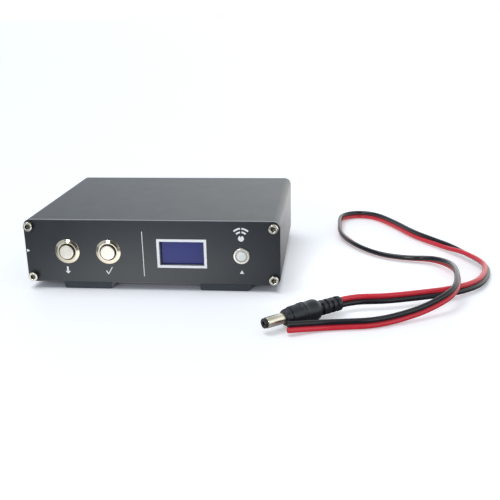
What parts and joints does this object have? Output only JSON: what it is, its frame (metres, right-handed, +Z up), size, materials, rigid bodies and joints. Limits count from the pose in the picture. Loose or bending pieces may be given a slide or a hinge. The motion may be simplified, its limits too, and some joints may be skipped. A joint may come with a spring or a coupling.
{
  "type": "coaxial antenna switch",
  "caption": "Flat desktop antenna switch: extruded case on skid rails, front push buttons, lamp and display, rear coaxial sockets, and a loose twin supply lead with a barrel plug.",
  "frame": {"origin": "on the standing surface, under the middle of the switch without its lead", "axes": "+X to the right of someone facing the buttons, +Y to the rear, +Z up"},
  "size_m": [0.2625, 0.2136, 0.0402],
  "materials": {
    "anodised_case": "satin dark grey anodising",
    "anodised_panel": "satin black anodising with white print",
    "rail_plastic": "matt dark grey",
    "nickel_screws": "bright nickel plate",
    "black_screws": "black oxide",
    "satin_nickel": "satin nickel plate",
    "spun_nickel": "spun satin nickel",
    "spring_steel": "plain",
    "black_plastic": "plain black",
    "tinned_brass": "tinned",
    "frosted_lens": "frosted pale green",
    "display_glass": "dark glass over a blue display",
    "circuit_board": "green solder mask",
    "socket_nickel": "nickel plate",
    "socket_insulator": "white fluoropolymer",
    "gold_contact": "gold plate",
    "relay_plastic": "blue case",
    "ferrite": "bare ferrite",
    "capacitor_sleeve": "black sleeve",
    "wire_insulation": "red vinyl",
    "bare_copper": "tinned copper",
    "moulded_vinyl": "matt moulded",
    "cord_vinyl": "red and black twin, satin"
  },
  "bodies": {
    "case": {"accept_button_base": "black_plastic", "accept_button_body": "satin_nickel", "accept_button_spring": "spring_steel", "antenna_socket_1_insulator": "socket_insulator", "antenna_socket_1_shell": "socket_nickel", "antenna_socket_2_insulator": "socket_insulator", "antenna_socket_2_shell": "socket_nickel", "antenna_socket_3_insulator": "socket_insulator", "antenna_socket_3_shell": "socket_nickel", "antenna_socket_4_insulator": "socket_insulator", "antenna_socket_4_shell": "socket_nickel", "button_nuts": "satin_nickel", "button_terminals": "tinned_brass", "capacitors": "capacitor_sleeve", "display_board": "circuit_board", "display_cable": "wire_insulation", "display_glass": "display_glass", "display_screws": "nickel_screws", "display_standoffs": "satin_nickel", "front_panel": "anodised_panel", "front_panel_screws": "nickel_screws", "front_wires": "wire_insulation", "jack_body": "black_plastic", "jack_nut": "satin_nickel", "jack_pin": "satin_nickel", "jack_terminals": "tinned_brass", "lamp_body": "satin_nickel", "lamp_lens": "frosted_lens", "lamp_nut": "satin_nickel", "lamp_terminals": "tinned_brass", "left_rail": "rail_plastic", "main_board": "circuit_board", "module_board": "circuit_board", "module_headers": "black_plastic", "module_shield": "satin_nickel", "next_button_base": "black_plastic", "next_button_body": "satin_nickel", "next_button_spring": "spring_steel", "plug_barrel": "satin_nickel", "plug_body": "moulded_vinyl", "plug_insulator": "black_plastic", "radio_socket_insulator": "socket_insulator", "radio_socket_shell": "socket_nickel", "rail_screws": "black_screws", "rear_panel": "anodised_panel", "rear_panel_screws": "nickel_screws", "regulator": "black_plastic", "relays": "relay_plastic", "right_rail": "rail_plastic", "sense_core": "ferrite", "sleeve": "anodised_case", "socket_contacts": "gold_contact", "socket_leads": "bare_copper", "socket_nuts": "satin_nickel", "socket_washers": "satin_nickel", "supply_cord": "cord_vinyl", "supply_wires": "wire_insulation"},
    "next_button": {"next_button_cap": "spun_nickel"},
    "accept_button": {"accept_button_cap": "spun_nickel"}
  },
  "joints": [
    {"name": "next_button_press", "type": "slide", "parent": "case", "child": "next_button", "axis": [0, 1, 0], "range_m": [0, 0.001], "stiffness_N_per_m": 800, "springref_m": -0.001, "deforming": ["next_button_spring"]},
    {"name": "accept_button_press", "type": "slide", "parent": "case", "child": "accept_button", "axis": [0, 1, 0], "range_m": [0, 0.001], "stiffness_N_per_m": 800, "springref_m": -0.001, "deforming": ["accept_button_spring"]}
  ]
}
